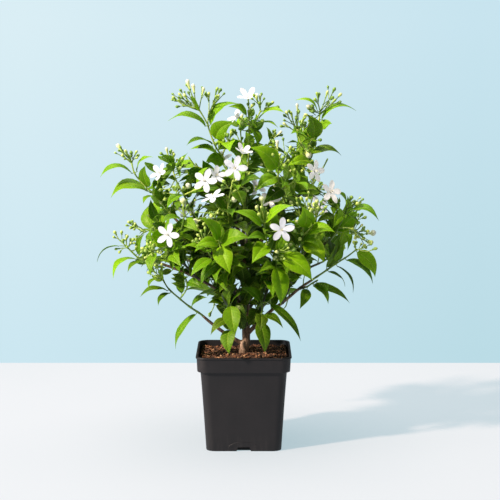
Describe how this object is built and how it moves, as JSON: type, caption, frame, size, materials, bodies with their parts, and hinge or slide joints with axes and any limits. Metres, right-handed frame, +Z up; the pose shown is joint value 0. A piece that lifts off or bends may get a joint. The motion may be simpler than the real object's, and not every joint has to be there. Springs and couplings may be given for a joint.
{
  "type": "potted orange jasmine",
  "caption": "Bushy flowering shrub with glossy pointed leaves and small white blossoms in a square tapered nursery pot.",
  "frame": {"origin": "centre of the pot's flat underside, on the surface that it stands on", "axes": "+Z up along the trunk, the side that the picture shows faces -Y, +X to its right"},
  "size_m": [0.3895, 0.292, 0.5071],
  "materials": {
    "pot": "satin black moulded plastic",
    "soil": "loose coir and bark chips, matte",
    "bark": "thin brown bark, matte",
    "leaf": "waxy leaf, glossy upper side",
    "petal": "soft white petal, matte"
  },
  "bodies": {
    "root": {"bloom_back_left": "petal", "bloom_back_mid": "petal", "bloom_back_right": "petal", "bloom_back_top": "petal", "bloom_back_top_b": "petal", "bloom_bright_right": "petal", "bloom_flower_front": "petal", "bloom_left_front": "petal", "bloom_left_mid": "petal", "bloom_left_mid_b": "petal", "bloom_left_shoot": "petal", "bloom_right": "petal", "bloom_trunk_top": "petal", "bloom_trunk_top_b": "petal", "bloom_upper_centre": "petal", "bloom_upper_centre_b": "petal", "bloom_upper_centre_c": "petal", "bloom_upper_right": "petal", "pot": "pot", "soil": "soil", "stem_back_far_left": "leaf", "stem_back_far_right": "leaf", "stem_back_left": "leaf", "stem_back_low_left": "leaf", "stem_back_low_right": "leaf", "stem_back_mid": "leaf", "stem_back_right": "leaf", "stem_back_top": "leaf", "stem_back_upper_left": "leaf", "stem_back_upper_right": "leaf", "stem_bright_right": "leaf", "stem_centre_front": "leaf", "stem_far_left": "leaf", "stem_far_right": "leaf", "stem_flower_front": "leaf", "stem_left_front": "leaf", "stem_left_mid": "leaf", "stem_left_shoot": "leaf", "stem_low_centre": "leaf", "stem_low_left": "leaf", "stem_low_mid": "leaf", "stem_low_right": "leaf", "stem_right": "leaf", "stem_right_mid": "leaf", "stem_side_left": "leaf", "stem_side_right": "leaf", "stem_side_upper_left": "leaf", "stem_side_upper_right": "leaf", "stem_trunk_top": "leaf", "stem_upper_centre": "leaf", "stem_upper_left": "leaf", "stem_upper_right": "leaf", "trunk": "bark"}
  },
  "joints": []
}
